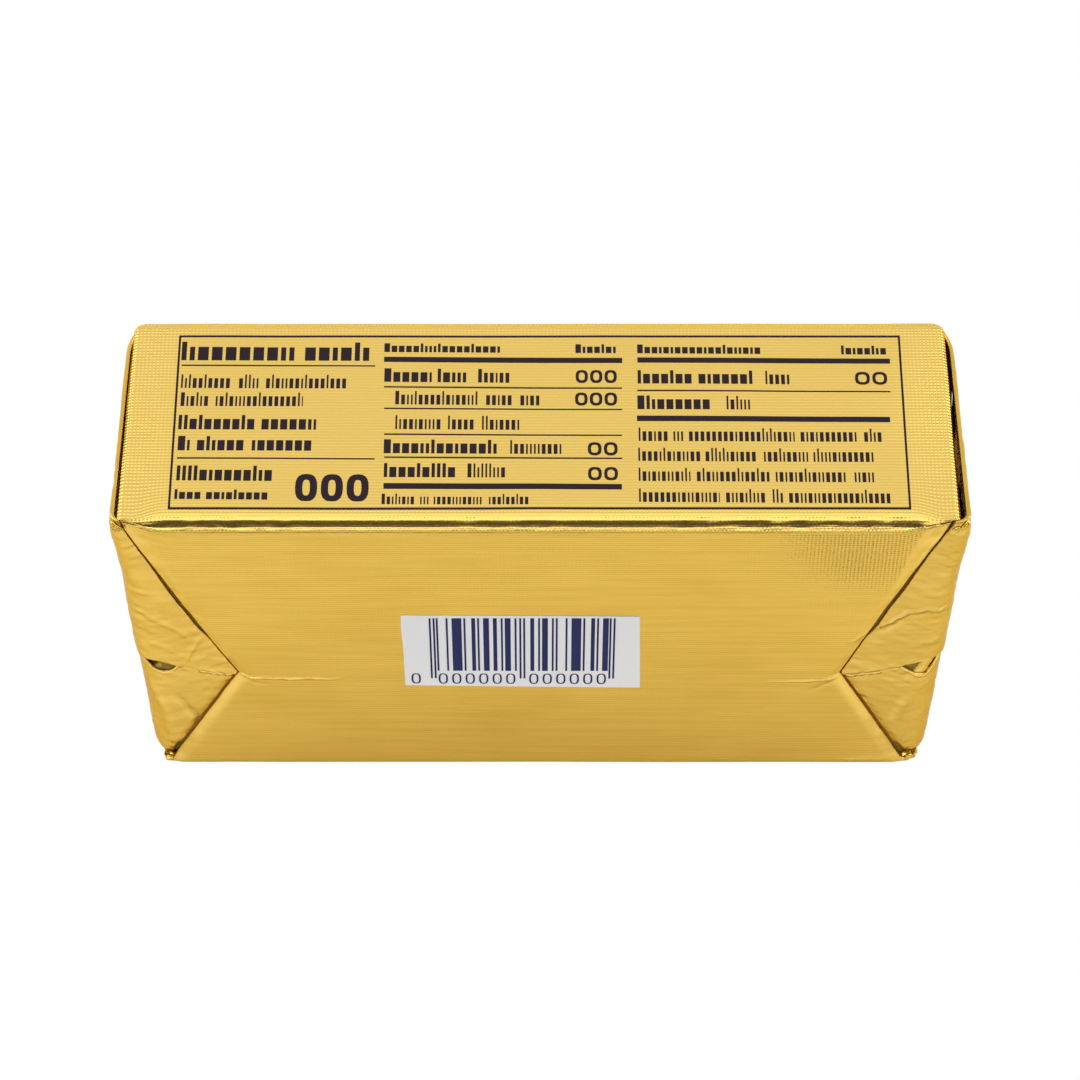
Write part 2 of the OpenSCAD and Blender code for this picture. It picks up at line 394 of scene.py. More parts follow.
# The end foil's ears and flaps
flaps = {
    "crestRadius": 0.3,  # folded upper and lower borders of the ears
    "edgeRadius": 0.16,  # folded edges of ears and flaps over one another
    "earLift": 0.42,  # ears above the inner end panel
    "overlap": 0.25,  # upper flap above the lower one
    "under": 2.2,  # how far the flaps run in under the belly foil
    "slitWidth": 0.5,  # dark gap beside the diagonal folds, at its widest
    "slitDepth": 1.8,
    "tipTuck": 1.7,  # how far the ears' tips go in under the back corners
    "wrinkle": 0.12,  # height of the pulled wrinkles
    "shade": (0.0, 0.06),  # painted shade added over the left and right flaps
    "columns": (34, 22, 44, 18, 3),  # of the mesh, from the back corner to under the belly foil
    "rows": (130, 90),  # on the upper and the lower ones
    # free edges, as distance forward from where the rim starts and height above the foot
    "upperEdge": {
        -1: ((-27, 61.5), (-7, 31.6), (-2.5, 28.3), (0.5, 27.3), (2.6, 26.9), (4.0, 27.5), (5.8, 27.9),
             (7.2, 27.3), (8.3, 26.6), (12, 25.3), (16.6, 24.3), (19, 24.2)),
        1: ((-27, 61.5), (-7, 31.6), (-2.5, 28.6), (0.5, 27.6), (1.9, 27.4), (3.6, 27.7), (5.3, 27.8),
            (7.2, 27.1), (8.7, 26.3), (12, 25.3), (16.6, 24.3), (19, 24.2)),
    },
    "lowerEdge": {
        -1: ((-27, 0.8), (-7, 21.5), (-2.5, 25.8), (0.5, 26.9), (2.6, 27.0), (3.6, 26.0), (4.75, 25.1),
             (6.0, 24.8), (7.1, 25.1), (8.3, 26.8), (9.2, 27.4), (12, 26.8), (16.6, 25.4), (19, 25.3)),
        1: ((-27, 0.8), (-7, 21.5), (-2.5, 25.6), (0.5, 27.2), (1.9, 27.5), (3.2, 25.6), (4.6, 23.9),
            (6.0, 24.2), (8.7, 26.6), (9.6, 27.4), (12, 26.8), (16.6, 25.4), (19, 25.3)),
    },
    # creases on the upper flaps: points as distance forward from the rim's start and height
    "creases": {
        -1: (
            (((12.9, 35.0), (11.4, 32), (9.2, 26.6)), 0.3, 0.17, 0.04),
            (((11.2, 33.0), (9.4, 35.5), (6, 39.0), (3, 41)), 0.5, 0.10, 0.2),
            (((9.5, 29), (7, 31.5), (4.5, 33)), 0.6, 0.08, 0.2),
        ),
        1: (
            (((13.6, 35.4), (10.9, 38.6), (9.2, 40.2), (7.0, 41.0), (3.4, 40.4), (0.5, 38.6)),
             0.3, 0.24, 0.5),
            (((13.6, 34.4), (10.9, 36.9), (9.2, 38.6)), 0.5, -0.14, 0.3),
            (((9.5, 30), (6, 32.5), (3, 33)), 0.7, 0.07, 0.2),
        ),
    },
    "lowCreases": {
        -1: (
            (((3.2, 22), (5.2, 14), (5.4, 5)), 0.9, 0.26, 0.2),
            (((6.5, 20), (9.5, 12), (9.8, 6)), 0.8, -0.16, 0.4),
        ),
        1: (
            (((4.6, 19.0), (3.0, 12.6), (1.6, 9.4)), 0.2, -0.12, 0.1),
            (((6, 20), (8, 12), (6, 5)), 0.9, 0.20, 0.4),
        ),
    },
}


def rimRadius(z):
    # radius of the soft rim at a height
    return block["topRim"] + (block["rim"] - block["topRim"]) * smoothStep(height, height - 20, z)


def wallFront(z):
    # how far forward the end wall goes before it turns into the rim
    return -halfDepth + block["layer"] + rimRadius(z)


def foldReach(z, side):
    # distance forward from the rim's start to the diagonal fold, measured along the foil
    r = rimRadius(z)
    inFromRim = wallX(z, wallFront(z)) - r - foldLine(z, side)
    onArc = r * np.arccos(np.clip(-inFromRim / r, 0, 1))
    return np.where(inFromRim > 0, r * math.pi / 2 + inFromRim, onArc)


def endFoilPoint(q, z, lift):
    # place and outward direction at a distance q forward from the rim's start
    r = rimRadius(z)
    angle = np.clip(q / r, 0, math.pi / 2)
    wall = wallX(z, wallFront(z) - np.minimum(q, 0)) - flaps["earLift"] + lift
    onFace = np.maximum(q - r * math.pi / 2, 0)
    x = wall - r + r * np.cos(angle) - onFace
    frontLift = (flaps["earLift"] - lift) * np.sin(angle)
    y = wallFront(z) - np.minimum(q, 0) - r * np.sin(angle) + frontLift
    return x, y, np.cos(angle), -np.sin(angle)


def columnReach(column, z, side):
    # columns crowd together round the rim and beside the diagonal fold
    r, fold = rimRadius(z), foldReach(z, side)
    knots = [wallFront(z) - halfDepth + 1.2, -1 + 0 * z, r * math.pi / 2 + 0.3]
    knots += [fold - 0.8, fold + 0.6, fold + flaps["under"]]
    for i in range(1, len(knots)):
        knots[i] = np.maximum(knots[i], knots[i - 1] + 0.02)
    reach, start = knots[0] + 0 * z, 0
    for i, count in enumerate(flaps["columns"]):
        share = np.clip((column - start) / count, 0, 1)
        reach = reach + (knots[i + 1] - knots[i]) * share
        start += count
    return reach


def earRows(upper):
    # each row: its kind (0 at the crest, 1 across the ear, 2 at the free edge), its offset or its share
    # of the way across, and its depth inwards
    crestR, edgeR = flaps["crestRadius"], flaps["edgeRadius"]
    rows = [(0, -crestR - 2.4 * t, 2 * crestR + 0.1 * t) for t in (1, 0.7, 0.4, 0.15)]
    for a in np.linspace(0, math.pi, 12):
        rows.append((0, -crestR * (1 - math.sin(a)), crestR * (1 + math.cos(a))))
    share = np.linspace(0, 1, flaps["rows"][0 if upper else 1])[1:-1]
    rows += [(1, t - 0.35 * math.sin(2 * math.pi * t) / math.pi / 2, 0.0) for t in share]
    for t in np.linspace(0, 1, 9):
        a = math.pi * 0.95 * t
        rows.append((2, edgeR * (1 - math.sin(a)), edgeR * (1 - math.cos(a))))
    rows += [(2, edgeR + t, 2 * edgeR + 0.06 * t) for t in (0.3, 0.8, 1.5)]
    return np.array(rows)


def plainValues(count, paintedShade=0.0):
    values = {label: np.zeros(count) for label in ("emboss", "dots", "highlightAndTone")}
    values["paintedShade"] = np.full(count, paintedShade)
    return values


def earGrid(side, upper, kind, offset):
    # distance forward and height of each point, and the height of the free edge there
    column = np.arange(sum(flaps["columns"]) + 1)[None, :].astype(float)
    way = 1 if upper else -1
    crest = height - 0.3 if upper else 0.3
    edgePoints = flaps["upperEdge" if upper else "lowerEdge"][side]
    z = np.full((len(kind), column.shape[1]), block["pointHeight"])
    # the columns lean with the diagonal fold, so places and heights settle in a few rounds
    for _ in range(12):
        q = columnReach(column, z, side)
        edge = np.interp(q, *np.array(edgePoints).T) + 0.06 * softNoise(q, side * 7.0, 1.5, 21)
        edge = np.minimum(edge, crest - 0.6) if upper else np.maximum(edge, crest + 0.6)
        first, last = crest - way * flaps["crestRadius"], edge + way * flaps["edgeRadius"]
        target = np.where(kind == 1, first + (last - first) * offset, 0)
        target = np.where(kind == 0, crest + way * np.minimum(offset, 0), target)
        under = np.minimum(edge + offset, crest - 0.4) if upper else np.maximum(edge - offset, crest + 0.4)
        target = np.where(kind == 2, under, target)
        z = z * 0.3 + target * 0.7
    return columnReach(column, z, side), z, edge


def slitOpening(z, side, upper):
    # how wide the gap beside the diagonal fold is, as a share of its usual width
    pointZ = block["pointHeight"]
    if upper:  # thin at the top, widest half way down, then a hairline to the point
        t = (z - pointZ) / (height - pointZ)
        return 0.12 + 0.88 * smoothStep(0.24, 0.30, t) * (1 - 0.85 * smoothStep(0.5, 0.9, t))
    # opens towards the foot, more so at the right
    return 0.5 + 0.2 * smoothStep(pointZ, 14, z) + ofSide((0.3, 1.8), side) * smoothStep(6, 1.5, z)


def earSheet(side, upper):
    # points of one ear with its flap, their places on the unfolded sheet, and its shades
    rows = earRows(upper)
    kind, offset, inward = [rows[:, i:i + 1] for i in range(3)]
    q, z, edge = earGrid(side, upper, kind, offset)
    lift = flaps["earLift"] if upper else flaps["earLift"] - flaps["overlap"]
    x, y, nx, ny = endFoilPoint(q, z, lift)
    fold, opening = foldReach(z, side), slitOpening(z, side, upper)
    width = flaps["slitWidth"] * opening
    dip = flaps["slitDepth"] * smoothStep(fold - width - 0.2, fold - width + 0.12, q)
    sag = (0.12 if upper else 0.4) * smoothStep(1.6, 0.0, fold - width - q) * np.minimum(opening, 1)
    relief = endRelief(q, z, side, upper)
    if upper:
        lip = smoothStep(1.6, 0.2, z - edge) * smoothStep(4, 8, q) * smoothStep(0.2, 1.2, fold - q)
        relief = relief + lip * (0.05 + 0.07 * softNoise(q, z, 0.7, 23))
    else:
        # the upper flap's border, which covers this one
        cover = np.interp(q, *np.array(flaps["upperEdge"][side]).T)
        lip = np.exp(-((cover - z - 0.55) / 0.35) ** 2)
        lip = lip * smoothStep(7.6, 8.8, q) * smoothStep(0.2, 1.2, fold - q)
        rim = np.exp(-((edge - z - 0.35) / 0.3) ** 2) * smoothStep(2, 3, q) * smoothStep(9, 8, q)
        relief = relief + lip * (0.14 + 0.2 * softNoise(q, z, 0.6, 24))
        relief = relief + rim * (0.1 + 0.1 * softNoise(q, z, 0.8, 27))
    depth = inward + (dip + sag) * smoothStep(0, 2, q) - relief * (inward < 0.2)
    tip = np.clip((y - halfDepth + 5.7) / 4.5, 0, 1)
    place = np.stack([side * (x - nx * depth - flaps["tipTuck"] * tip ** 2), y - ny * depth, z], -1)
    # painted shade in the slit, in the sag beside it, inside the crest's fold and under the free edge
    paintedShade = smoothStep(0.15, 0.9, dip) + 0.2 * smoothStep(0.12, 0.45, sag)
    inside = np.where(kind == 0, smoothStep(0.7, 2.3, -offset - flaps["crestRadius"]), 0)
    paintedShade = paintedShade + np.where(kind == 2, smoothStep(0.2, 0.3, inward), inside)
    # painted highlight and shade from the slopes, over a random mottling of the gold
    tilt = slopeShade(relief * (kind == 1), q, z)
    highlightAndTone = 0.3 * softNoise(q * 0.6 + z * 0.3, z - q * 0.3, 2.2, 25) + 2.6 * tilt
    paintedShade = paintedShade + 1.3 * np.clip(-tilt - 0.05, 0, 0.5) + ofSide(flaps["shade"], side)
    if not upper:
        # painted shadow line under the upper flap's border, and painted highlight on the crumpled lips
        seam = smoothStep(7, 8.6, q) * smoothStep(0.1, 0.9, fold - q)
        paintedShade = paintedShade + 1.0 * seam * np.exp(-((cover - z - 0.05) / 0.16) ** 2)
        highlightAndTone = highlightAndTone + (lip + rim) * (0.9 + 1.2 * softNoise(q, z, 0.7, 26))
    values = {"emboss": 0 * z, "dots": 0 * z, "highlightAndTone": np.clip(highlightAndTone, -0.4, 1), "paintedShade": np.clip(paintedShade, 0, 1)}
    return place, np.stack([q + side * 40, z], -1), values  # the sheets of both sides lie well apart


def endRelief(q, z, side, upper):
    # fine pulled wrinkles that fan out from the point, and a few creases
    seed = 31 + side * 3 + (5 if upper else 0)
    size = flaps["wrinkle"] * (1.0 if upper else 0.75)
    onFlap = smoothStep(-3, 3, q)
    pull = softNoise(q * 0.45 + z * 0.2, z * 1.1 - q * 0.5, 1.1, seed) * onFlap
    broad = softNoise(q, z, 7.5, seed + 1)
    crumple = creaseNoise(q, z, 4.2, seed + 2)
    marks = creaseMarks(q, z, flaps["creases" if upper else "lowCreases"][side])
    fine = softNoise(q * 0.5 + z * 0.35, z - q * 0.6, 0.8, seed + 4) * softNoise(q, z, 4, seed + 5)
    return size * (0.5 * pull + 0.9 * broad + 0.3 * crumple + 0.8 * fine) + marks


def makeEars():
    made = []
    for side, label in ((-1, "Left"), (1, "Right")):
        for upper, layer in ((True, "upper"), (False, "lower")):
            place, flat, values = earSheet(side, upper)
            faces = gridFaces(*place.shape[:2], flip=(side > 0) == upper)
            name = layer + "Flap" + label
            made.append(buildMesh(name, place.reshape(-1, 3), faces, flat.reshape(-1, 2), values))
    return made


def makeInnerRim(side, label):
    # the layer below the flaps, seen in the hollow where ears and flaps come together
    rows, columns = 64, 60
    q, z = np.meshgrid(np.linspace(-9, 11, columns), np.linspace(15, 36, rows))
    x, y, nx, ny = endFoilPoint(q, z, flaps["earLift"])
    # a pleat: one side of it stands out with a painted highlight, the others get painted shade
    if side > 0:
        across = q - 5.2 + (z - 25.5) * 0.5
        lit = smoothStep(-2.0, -1.3, across) * smoothStep(1.6, 0.9, across)
    else:
        across = q - 5.6 - (z - 26.5) * 0.8
        lit = 0.6 * smoothStep(-0.4, 0.2, across)
    lit = 1 - (1 - lit) * smoothStep(-0.5, 1.2, q)
    depth = 0.85 - 0.35 * lit + 0.1 * softNoise(q, z, 0.9, 53) + 0.9 * smoothStep(8, 12, q)
    depth = depth + 0.7 * smoothStep(-3, -6, q)
    place = np.stack([side * (x - nx * depth), y - ny * depth, z], -1)
    values = plainValues(rows * columns)
    # painted shade where the pleat is unlit, and a painted highlight along its lit fold
    values["paintedShade"] = np.clip(1 - lit + 0.15 * softNoise(q, z, 0.7, 54), 0, 1)
    values["highlightAndTone"] = np.exp(-((across - 0.2) / 0.25) ** 2) * lit
    flat = np.stack([q + side * 60, z], -1)
    faces = gridFaces(rows, columns, flip=side < 0)
    return buildMesh("innerRim" + label, place.reshape(-1, 3), faces, flat.reshape(-1, 2), values)


# Small curls of spare foil where the folds meet at the corners. Their points are measured from the
# block's corner there: outwards, backwards and up
curls = {
    "radius": 0.36,
    "topLeft": ((-0.1, 1.58, -0.5), (-0.3, 0.78, -0.6), (-0.9, 0.48, -1.3), (-1.6, 0.68, -1.8)),
    "topRight": ((-0.1, 1.78, -0.4), (-0.2, 0.78, -0.7), (-0.8, 0.58, -1.5), (-1.6, 0.48, -1.6),
                 (-2.3, 0.68, -1.9)),
    "footLeft": ((-2.5, 1.68, 2.2), (-2.9, 0.98, 1.4), (-3.4, 0.78, 1.9), (-3.7, 0.88, 0.8)),
    "footRight": ((-2.4, 2.08, 2.2), (-2.9, 1.28, 1.2), (-3.4, 0.88, 2.1), (-4.0, 0.78, 0.9)),
}


def curveThrough(points, at):
    # a smooth curve through a few points
    x, y = np.array(points, float).T
    slope = np.gradient(y, x)
    i = np.clip(np.searchsorted(x, at) - 1, 0, len(x) - 2)
    gap = x[i + 1] - x[i]
    t = np.clip((at - x[i]) / gap, 0, 1)
    rise = y[i] * (1 + 2 * t) * (1 - t) ** 2 + y[i + 1] * t * t * (3 - 2 * t)
    return rise + gap * (slope[i] * t * (1 - t) ** 2 - slope[i + 1] * t * t * (1 - t))


def makeCurl(corner, side, cornerZ, seed):
    # a crumpled tube through the curl's points, each placed to a tenth of a millimetre
    points = np.array(curls[corner]) * (side, 1, 1) + (side * halfLength, -halfDepth, cornerZ)
    points = points.round(1)
    steps, ring, radius = 6 * (len(points) - 1) + 1, 14, curls["radius"]
    t = np.linspace(0, len(points) - 1, steps)
    centre = np.stack([curveThrough(list(enumerate(points[:, i])), t) for i in range(3)], -1)
    way = np.gradient(centre, axis=0)
    way /= np.linalg.norm(way, axis=1, keepdims=True)
    sideways = np.cross(way, (0, 0.3, 1))
    sideways /= np.linalg.norm(sideways, axis=1, keepdims=True)
    upward = np.cross(sideways, way)
    a = np.linspace(0, 2 * math.pi, ring, endpoint=False)[None, :]
    swell = np.sin(math.pi * np.linspace(0.04, 0.96, steps))[:, None] ** 0.5
    size = radius * swell * (1 + 0.7 * softNoise(t[:, None] * 2.2, np.cos(a) * 1.7 + seed, 1, seed))
    outward = np.cos(a)[..., None] * sideways[:, None] + np.sin(a)[..., None] * upward[:, None]
    corners = centre[:, None] + size[..., None] * outward
    faces = []
    for r in range(steps - 1):
        for c in range(ring):
            d = (c + 1) % ring
            faces.append((r * ring + c, r * ring + d, (r + 1) * ring + d, (r + 1) * ring + c))
    faces.append(tuple(range(ring))[::-1])
    faces.append(tuple(range((steps - 1) * ring, steps * ring)))
    corners = corners.reshape(-1, 3)
    return buildMesh(corner + "Curl", corners, faces, corners[:, [0, 2]], plainValues(len(corners)))


# The foil's inner layers, seen only deep in the slits, painted in shade colour all over
core = {
    "inset": 1.15,  # below the outer foil at the sides
    "low": 0.9,  # and at the foot
    "high": 1.2,  # and at the top
    "corner": 2.6,
    "steps": 10,
    "bend": 6,  # points round each corner
}


def makeCore():
    inset, r, steps, bend = (core[key] for key in ("inset", "corner", "steps", "bend"))
    corners, faces = [], []
    for level in range(steps + 1):
        z = core["low"] + (height - core["low"] - core["high"]) * level / steps
        x, y = wallX(z, halfDepth) - inset, halfDepth - inset
        arcs = ((x - r, y - r, 0), (r - x, y - r, 90), (r - x, r - y, 180), (x - r, r - y, 270))
        for cx, cy, start in arcs:
            for i in range(bend):
                a = math.radians(start + 90 * i / (bend - 1))
                corners.append((cx + r * math.cos(a), cy + r * math.sin(a), z))
    ring = 4 * bend
    for level in range(steps):
        for i in range(ring):
            a, b = level * ring + i, level * ring + (i + 1) % ring
            faces.append((a, b, b + ring, a + ring))
    faces.append(tuple(range(ring))[::-1])
    faces.append(tuple(range(steps * ring, (steps + 1) * ring)))
    flat = [(c[0], c[2]) for c in corners]
    # painted shade at seven tenths over the whole piece
    return buildMesh("innerFoil", corners, faces, flat, plainValues(len(corners), 0.7))


# The gold foil, embossed like linen on the belly foil and plain at the ends
foil = {
    "gold": (0.74, 0.495, 0.108),
    "deepGold": (0.60, 0.38, 0.064),
    # the paler gold is a painted highlight and sheen
    "highlightGold": (0.84, 0.585, 0.150),
    "edgeTint": (0.85, 0.70, 0.42),  # where the eye grazes it
    "hollow": (0.055, 0.024, 0.004),  # painted shade colour, deep in the folds
    "roughness": (0.17, 0.30),
    "pitch": (0.52, 0.50),  # of the linen pattern, along and across
    "linenDepth": 0.024,
    "linenShade": 0.62,  # how much the pattern shows as colour
    "ribStretch": 0.07,  # the streaks are drawn out along the ribs
    "wrinkleDepth": (0.03, 0.07),  # of fine wrinkles in embossed and in plain foil
    "wrinkleScale": (0.9, 0.7),
}


def newMaterial(name):
    material = bpy.data.materials.new(name)
    material.use_nodes = True
    nodes, links = material.node_tree.nodes, material.node_tree.links
    return material, nodes, links, nodes["Principled BSDF"]


def mathNode(nodes, links, operation, first, second=None, third=None):
    node = nodes.new("ShaderNodeMath")
    node.operation = operation
    for socket, value in zip(node.inputs, (first, second, third)):
        if value is None:
            continue
        if isinstance(value, (int, float)):
            socket.default_value = value
        else:
            links.new(value, socket)
    return node.outputs[0]


def noiseNode(nodes, links, vector, scale, detail=3.0, roughness=0.5):
    node = nodes.new("ShaderNodeTexNoise")
    node.inputs["Scale"].default_value = scale
    node.inputs["Detail"].default_value = detail
    node.inputs["Roughness"].default_value = roughness
    links.new(vector, node.inputs["Vector"])
    return node.outputs["Fac"]


def attributeValue(nodes, name):
    node = nodes.new("ShaderNodeAttribute")
    node.attribute_name = name
    return node.outputs["Fac"]


def mixColour(nodes, links, share, first, second):
    mix = nodes.new("ShaderNodeMix")
    mix.data_type = "RGBA"
    for socket, value in ((mix.inputs[0], share), (mix.inputs[6], first), (mix.inputs[7], second)):
        if isinstance(value, tuple):
            socket.default_value = (*value, 1)
        else:
            links.new(value, socket)
    return mix.outputs[2]


def linenWeave(nodes, links, places, grain, cloud):
    # crossed ribs that waver a little, with dots where they are strongest
    dots, emboss = attributeValue(nodes, "dots"), attributeValue(nodes, "emboss")
    ribs = []
    for distance, pitch in zip(places, foil["pitch"]):
        wander = mathNode(nodes, links, "MULTIPLY", grain, 0.9)
        turn = mathNode(nodes, links, "MULTIPLY", distance, 2 * math.pi / pitch)
        ribs.append(mathNode(nodes, links, "COSINE", mathNode(nodes, links, "ADD", turn, wander)))
    upright = mathNode(nodes, links, "MULTIPLY_ADD", dots, 0.9, 0.2)
    upright = mathNode(nodes, links, "MULTIPLY", ribs[0], upright)
    level = mathNode(nodes, links, "MULTIPLY_ADD", dots, 0.7, 1.0)
    level = mathNode(nodes, links, "MULTIPLY", ribs[1], level)
    crossed = mathNode(nodes, links, "MULTIPLY", ribs[0], ribs[1])
    weave = mathNode(nodes, links, "ADD", upright, level)
    weave = mathNode(nodes, links, "ADD", weave, mathNode(nodes, links, "MULTIPLY", crossed, dots))
    weave = mathNode(nodes, links, "MULTIPLY", weave, emboss)
    patchy = mathNode(nodes, links, "MULTIPLY_ADD", cloud, 0.8, 0.5)
    return mathNode(nodes, links, "MULTIPLY", weave, patchy)


def makeFoilMaterial(name, embossed):
    material, nodes, links, shader = newMaterial(name)
    sheet = nodes.new("ShaderNodeUVMap")
    sheet.uv_map = "sheet"
    place = sheet.outputs["UV"]
    split = nodes.new("ShaderNodeSeparateXYZ")
    links.new(place, split.inputs[0])
    drawn = nodes.new("ShaderNodeVectorMath")  # the sheet's place, squeezed along the ribs
    drawn.operation = "MULTIPLY"
    drawn.inputs[1].default_value = (foil["ribStretch"], 1, 1)
    links.new(place, drawn.inputs[0])
    cloud = noiseNode(nodes, links, place, 0.06, 2)
    streak = noiseNode(nodes, links, drawn.outputs[0], 0.9, 4, 0.6)
    grain = noiseNode(nodes, links, place, 1.6, 4, 0.6)
    kind = 0 if embossed else 1
    wrinkles = noiseNode(nodes, links, place, foil["wrinkleScale"][kind], 5, 0.65)
    relief = mathNode(nodes, links, "MULTIPLY", wrinkles, foil["wrinkleDepth"][kind])
    clouded = mathNode(nodes, links, "MULTIPLY_ADD", cloud, 0.7, -0.45)
    shade = mathNode(nodes, links, "MULTIPLY_ADD", streak, 1.35, clouded)
    if embossed:
        weave = linenWeave(nodes, links, split.outputs[:2], grain, cloud)
        raised = mathNode(nodes, links, "MULTIPLY", weave, foil["linenDepth"] / 2)
        relief = mathNode(nodes, links, "ADD", relief, raised)
        tinted = mathNode(nodes, links, "MULTIPLY", weave, foil["linenShade"] / 2)
        shade = mathNode(nodes, links, "ADD", shade, tinted)
    tint = mixColour(nodes, links, shade, foil["deepGold"], foil["gold"])
    # painted highlight: paler gold where the attribute says
    tint = mixColour(nodes, links, attributeValue(nodes, "highlightAndTone"), tint, foil["highlightGold"])
    # painted shade: dark brown and no metal where the attribute says
    paintedShade = attributeValue(nodes, "paintedShade")
    tint = mixColour(nodes, links, paintedShade, tint, foil["hollow"])
    links.new(tint, shader.inputs["Base Color"])
    links.new(mathNode(nodes, links, "SUBTRACT", 1.0, paintedShade), shader.inputs["Metallic"])
    shader.inputs["Specular IOR Level"].default_value = 0
    shader.inputs["Specular Tint"].default_value = (*foil["edgeTint"], 1)
    spread = nodes.new("ShaderNodeMapRange")
    spread.inputs["To Min"].default_value, spread.inputs["To Max"].default_value = foil["roughness"]
    links.new(grain, spread.inputs["Value"])
    links.new(spread.outputs[0], shader.inputs["Roughness"])
    bump = nodes.new("ShaderNodeBump")
    bump.inputs["Strength"].default_value = 1.0
    bump.inputs["Distance"].default_value = mm
    links.new(relief, bump.inputs["Height"])
    links.new(bump.outputs[0], shader.inputs["Normal"])
    return material


def makePrintMaterial(name, colour, roughness, gloss):
    material, _, _, shader = newMaterial(name)
    shader.inputs["Base Color"].default_value = (*colour, 1)
    shader.inputs["Roughness"].default_value = roughness
    shader.inputs["Specular IOR Level"].default_value = gloss
    return material


# The print: a ruled table of figures on the upper narrow face, its words shown by plain marks
table = {
    "lift": 0.035,  # of the ink above the foil
    "stroke": {"light": 0.25, "bold": 0.46, "heavy": 0.6},  # at the usual height of capitals
    "capital": 2.3,
    "low": 0.72,  # height of the lower blocks, as a share of the tall ones
    "slope": -0.006,  # the print stands a little askew
    "frame": (-50.4, 50.2, -15.15, 14.55, 0.3),  # left, right, low, high, line
    # rules: left, right, height, thickness
    "rules": (
        (-49.8, -22.9, 9.1, 0.2), (-49.6, -22.6, -6.8, 0.2),
        (-21.7, 11.4, 10.3, 0.85), (-21.6, 11.3, 5.5, 0.2), (-21.5, 11.3, 1.8, 0.2),
        (-21.4, 11.2, -2.6, 0.2), (-21.3, 11.2, -6.5, 0.2), (-21.3, 11.1, -11.3, 0.9),
        (13.5, 48.6, 10.4, 0.85), (13.4, 48.4, 5.1, 0.2), (13.3, 48.1, 0.3, 0.9),
    ),
    # lines of words: left end, right end, foot, height of capitals, weight, letters in each word
    "lines": (
        (-49.9, -23.1, 10.0, 3.2, "heavy", (9, 5)),
        (-49.7, -26.0, 5.2, 2.3, "light", (5, 2, 8)), (-49.6, -32.3, 2.1, 2.3, "light", (3, 9)),
        (-49.7, -30.3, -1.9, 2.4, "bold", (7, 5)), (-49.6, -31.0, -5.5, 2.4, "bold", (1, 4, 5)),
        (-49.5, -36.0, -10.6, 2.5, "bold", (8,)), (-49.6, -36.7, -13.7, 1.6, "bold", (3, 7)),
        (-21.7, -5.1, 11.6, 1.5, "bold", (14,)), (4.9, 10.9, 11.6, 1.5, "bold", (4,)),
        (-21.6, -10.0, 6.4, 2.3, "bold", (5, 3)), (-8.6, -3.8, 6.4, 2.3, "light", (3,)),
        (-20.0, 0.3, 2.5, 2.3, "light", (9, 3, 2)),
        (-19.9, -2.5, -1.7, 2.3, "light", (5, 3, 4)),
        (-21.4, -5.4, -5.8, 2.3, "bold", (11,)), (-4.1, 3.1, -5.8, 2.3, "light", (4,)),
        (-21.3, -11.1, -9.8, 2.3, "bold", (6,)), (-9.9, -4.3, -9.8, 2.3, "light", (3,)),
        (-21.5, -0.9, -14.3, 1.7, "light", (4, 1, 6, 5)),
        (13.5, 31.2, 11.6, 1.5, "bold", (14,)), (41.9, 48.6, 11.6, 1.5, "bold", (4,)),
        (13.5, 29.8, 6.3, 2.3, "bold", (5, 5)), (31.2, 34.6, 6.3, 2.3, "light", (2,)),
        (13.4, 24.1, 1.9, 2.3, "bold", (7,)), (25.7, 29.3, 1.9, 2.3, "light", (2,)),
        (13.5, 47.7, -3.5, 2.2, "light", (3, 1, 11, 6, 2)), (13.4, 46.5, -6.9, 2.2, "light", (7, 6, 5, 7)),
        (13.4, 46.3, -10.3, 2.2, "light", (5, 7, 7, 2)), (13.4, 48.2, -13.8, 2.2, "light", (8, 4, 1, 10)),
    ),
    # plain noughts where amounts stand: left end, right end, foot, height, weight, how many
    "noughts": (
        (-33.3, -22.8, -13.9, 4.5, "heavy", 3),
        (4.9, 10.9, 6.4, 2.2, "bold", 3), (4.8, 10.9, 2.5, 2.2, "bold", 3),
        (6.5, 10.9, -6.0, 2.2, "bold", 2), (6.5, 10.9, -10.2, 2.2, "bold", 2),
        (43.6, 48.4, 6.3, 2.2, "bold", 2),
    ),
}


def topPoint(x, y, lift):
    # a point of the upper narrow face's foil, raised by the given amount
    r = block["longEdge"]
    along = height - 2 * r + math.pi / 2 * r + halfDepth - r - y
    relief = bellyRelief(x, along, y, 0 * x, 1 + 0 * x)
    return np.stack([x, y, height + relief + lift], -1)


def panelPoint(x, z, lift):
    # the same for the panel face
    r = block["longEdge"]
    along = height - 2 * r + math.pi * r + 2 * (halfDepth - r) + height - r - z
    relief = bellyRelief(x, along, -halfDepth + 0 * x, -1 + 0 * x, 0 * x)
    return np.stack([x, -halfDepth - relief - lift, z], -1)


def addBar(shapes, left, right, low, high):
    # a filled bar, cut into short lengths so that it follows the foil
    pieces = max(1, round(abs(right - left) / 1.2))
    rows = max(1, round(abs(high - low) / 1.2))
    start = sum(len(points) for points, _ in shapes)
    grid = [(left + (right - left) * i / pieces, low + (high - low) * j / rows)
            for j in range(rows + 1) for i in range(pieces + 1)]
    faces = [tuple(start + n for n in face) for face in gridFaces(rows + 1, pieces + 1)]
    shapes.append((grid, faces))


